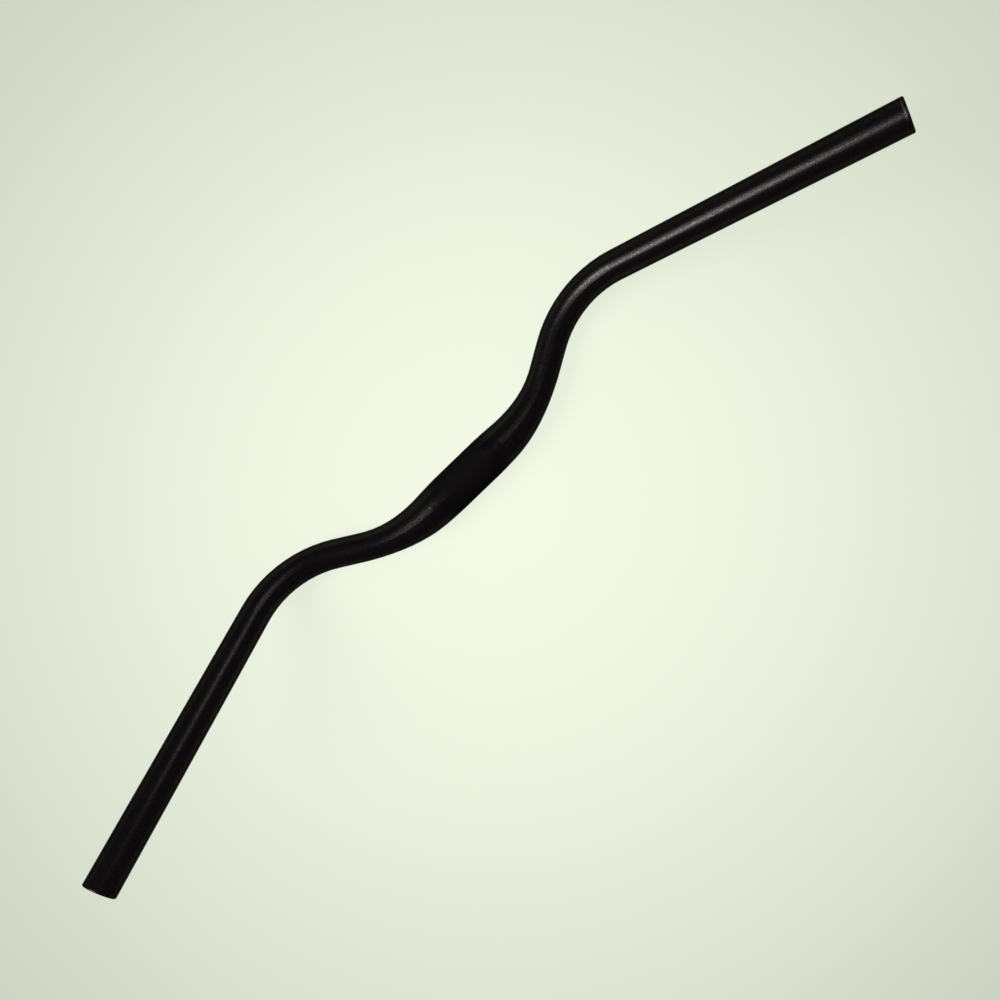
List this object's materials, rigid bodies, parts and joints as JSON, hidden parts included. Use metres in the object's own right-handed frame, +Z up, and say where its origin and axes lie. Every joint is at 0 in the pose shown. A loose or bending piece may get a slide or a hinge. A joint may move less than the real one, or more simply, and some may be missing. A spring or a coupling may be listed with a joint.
{
  "type": "bicycle handlebar",
  "caption": "Moustache handlebar: a round aluminium tube, swelled at the stem clamp, bowed forward on each side and swept back into long straight grips.",
  "frame": {"origin": "centre of the stem clamp, on the tube's axis", "axes": "+X along the clamp's axis to the rider's right, +Y forward and +Z up, with the bar lying at rest on its clamp and its two forward bends"},
  "size_m": [0.6812, 0.0678, 0.1487],
  "materials": {
    "anodised_tube": "black anodised, satin"
  },
  "bodies": {
    "root": {"handlebar_tube": "anodised_tube"}
  },
  "joints": []
}
